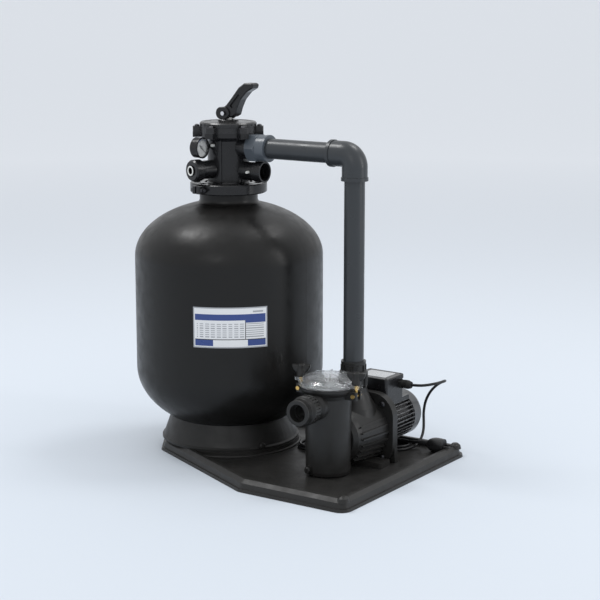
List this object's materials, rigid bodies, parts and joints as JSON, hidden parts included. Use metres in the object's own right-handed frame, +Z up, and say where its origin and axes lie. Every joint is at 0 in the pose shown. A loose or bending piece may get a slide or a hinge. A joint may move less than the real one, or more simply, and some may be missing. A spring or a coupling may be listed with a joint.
{
  "type": "sand filter tank",
  "caption": "Black pool sand filter on a tray base: round tank with a top multiport valve and lever, grey pipe loop down to a strainer pump, and a loose power cord.",
  "frame": {"origin": "centre of the base plate's underside, on the floor", "axes": "+X towards the pump's side, +Y from the pump's suction mouth to its motor, +Z up"},
  "size_m": [0.7936, 0.5752, 0.9295],
  "materials": {
    "tank_plastic": "satin moulded black",
    "skirt_plastic": "matte moulded black",
    "valve_plastic": "semi-gloss moulded black",
    "valve_lid_plastic": "semi-gloss moulded black",
    "sand": "loose silica sand",
    "white_plastic": "moulded white",
    "rubber": "matte rubber",
    "stainless": "brushed stainless",
    "gauge_black": "gloss black",
    "gauge_white": "white printed face",
    "clear": "clear moulded",
    "pipe_grey": "satin grey pipe",
    "adaptor_grey": "satin blue-grey",
    "pump_plastic": "matte moulded black",
    "brass": "plain brass",
    "motor_core": "laminated steel",
    "motor_paint": "black painted casting",
    "box_lid": "matte black",
    "cover_paint": "dark grey painted sheet",
    "cord_black": "matte black sheath",
    "plug_black": "moulded black"
  },
  "bodies": {
    "tank_and_pump": {"base_plate": "skirt_plastic", "tank_skirt": "skirt_plastic", "tank_shell": "tank_plastic", "sand_bed": "sand", "standpipe": "white_plastic", "lateral_hub": "white_plastic", "laterals": "white_plastic", "top_diffuser": "white_plastic", "o_rings": "rubber", "clamp_half_front": "valve_plastic", "clamp_half_back": "valve_plastic", "clamp_bolts": "stainless", "valve_body": "valve_plastic", "valve_lid": "valve_lid_plastic", "lid_screws": "stainless", "spider_gasket": "rubber", "valve_spring": "stainless", "waste_plug": "valve_plastic", "vent_screws": "white_plastic", "gauge_case": "gauge_black", "gauge_dial": "gauge_white", "gauge_lens": "clear", "pipe_adaptor": "adaptor_grey", "horizontal_pipe": "pipe_grey", "elbow": "pipe_grey", "vertical_pipe": "pipe_grey", "union_tail": "pump_plastic", "union_nut": "pump_plastic", "pump_housing": "pump_plastic", "t_bolts": "brass", "suction_collar": "pump_plastic", "drain_plugs": "pump_plastic", "seal_plate": "pump_plastic", "flange_screws": "stainless", "shaft_seal": "rubber", "motor_stator": "motor_core", "motor_frame": "motor_paint", "bearings": "stainless", "fan_cover": "cover_paint", "terminal_box": "motor_paint", "terminal_box_lid": "box_lid", "cable_gland": "box_lid", "cord_run": "cord_black", "cord_coil": "cord_black", "cord_tail": "cord_black", "plug": "plug_black"},
    "selector": {"handle_washer": "white_plastic"},
    "diverter_body": {"diverter": "white_plastic", "handle_pin": "stainless"},
    "handle_body": {"valve_handle": "valve_plastic"},
    "needle": {"gauge_needle": "gauge_black"},
    "rotor": {"motor_shaft": "stainless", "motor_rotor": "motor_core", "fan": "box_lid", "impeller": "white_plastic"},
    "strainer_lid_body": {"strainer_lid": "clear", "lid_seal": "rubber"},
    "left_knob_body": {"left_knob": "pump_plastic"},
    "right_knob_body": {"right_knob": "pump_plastic"},
    "basket": {"strainer_basket": "white_plastic"}
  },
  "joints": [
    {"name": "valve_turn", "type": "hinge", "parent": "tank_and_pump", "child": "selector", "pos_m": [-0.15925, 0.0355, 0.834], "axis": [0, 0, 1], "continuous": true},
    {"name": "diverter_lift", "type": "slide", "parent": "selector", "child": "diverter_body", "axis": [0, 0, 1], "range_m": [0, 0.006], "deforming": ["valve_spring"]},
    {"name": "handle_press", "type": "hinge", "parent": "diverter_body", "child": "handle_body", "pos_m": [-0.15925, 0.0355, 0.853], "axis": [0, 1, 0], "range_deg": [0, 35]},
    {"name": "gauge_turn", "type": "hinge", "parent": "tank_and_pump", "child": "needle", "pos_m": [-0.17525, -0.0495, 0.772], "axis": [1, 0, 0], "range_deg": [-270, 0]},
    {"name": "motor_spin", "type": "hinge", "parent": "tank_and_pump", "child": "rotor", "pos_m": [0.21475, 0, 0.094], "axis": [0, 1, 0], "continuous": true},
    {"name": "strainer_lid_lift", "type": "slide", "parent": "tank_and_pump", "child": "strainer_lid_body", "axis": [0, 0, 1], "range_m": [0, 0.15]},
    {"name": "left_knob_turn", "type": "hinge", "parent": "strainer_lid_body", "child": "left_knob_body", "pos_m": [0.13675, -0.0755, 0.25], "axis": [0, 0, 1], "continuous": true},
    {"name": "right_knob_turn", "type": "hinge", "parent": "strainer_lid_body", "child": "right_knob_body", "pos_m": [0.29275, -0.0755, 0.25], "axis": [0, 0, 1], "continuous": true},
    {"name": "basket_lift", "type": "slide", "parent": "tank_and_pump", "child": "basket", "axis": [0, 0, 1], "range_m": [0, 0.075]}
  ],
  "couplings": [
    {"joint": "diverter_lift", "follows": "handle_press", "m_per_rad": 0.009822},
    {"joint": "basket_lift", "follows": "strainer_lid_lift", "ratio": 0.5}
  ]
}
